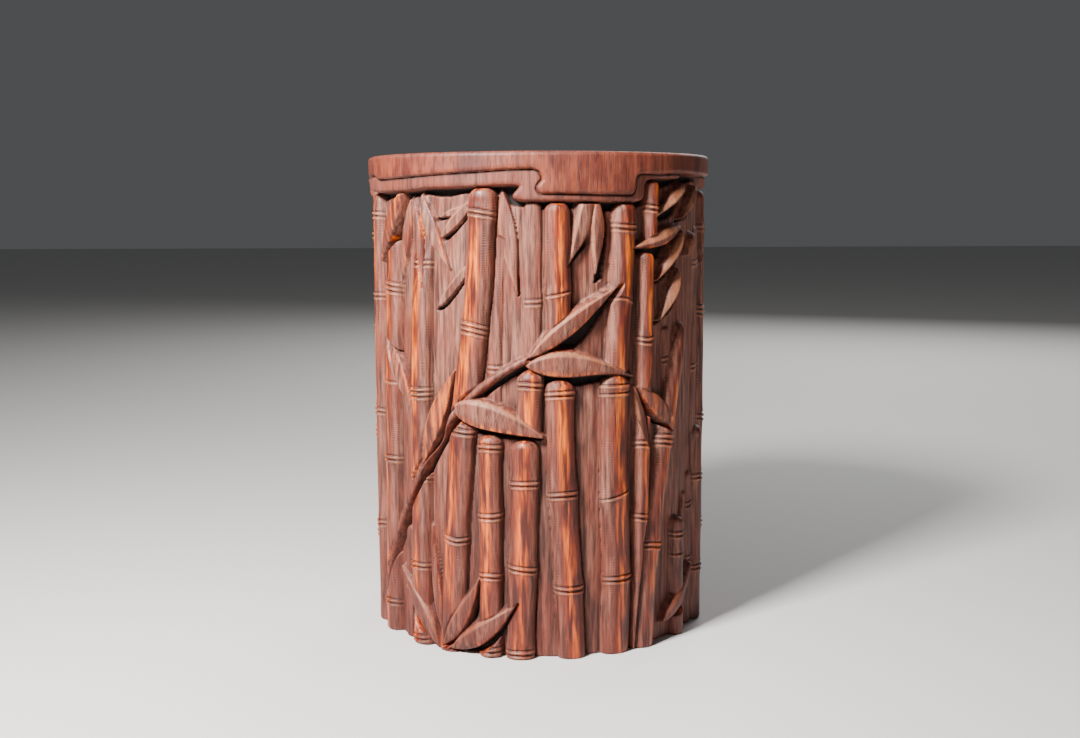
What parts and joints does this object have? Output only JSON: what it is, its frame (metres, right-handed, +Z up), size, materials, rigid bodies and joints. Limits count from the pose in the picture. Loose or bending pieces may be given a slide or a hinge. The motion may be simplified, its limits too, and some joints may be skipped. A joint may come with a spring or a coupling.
{
  "type": "brush pot",
  "caption": "Round straight-sided hardwood pot for writing brushes, carved in relief with a bamboo grove under a draped rim band, with a let-in floor board.",
  "frame": {"origin": "centre of the plane that the foot stands on", "axes": "+Z up along the axis of the bore, -Y towards the side with the leafy twig and the band's tab, +X to its right"},
  "size_m": [0.11, 0.11, 0.15],
  "materials": {
    "carved_wood": "reddish brown hardwood, hand polished on the crowns of the carving and matte in the hollows",
    "board_wood": "darker hardwood, planed and waxed",
    "plug_wood": "dark hardwood, end grain, waxed"
  },
  "bodies": {
    "root": {"carved_body": "carved_wood", "floor_board": "board_wood", "floor_plug": "plug_wood"}
  },
  "joints": []
}
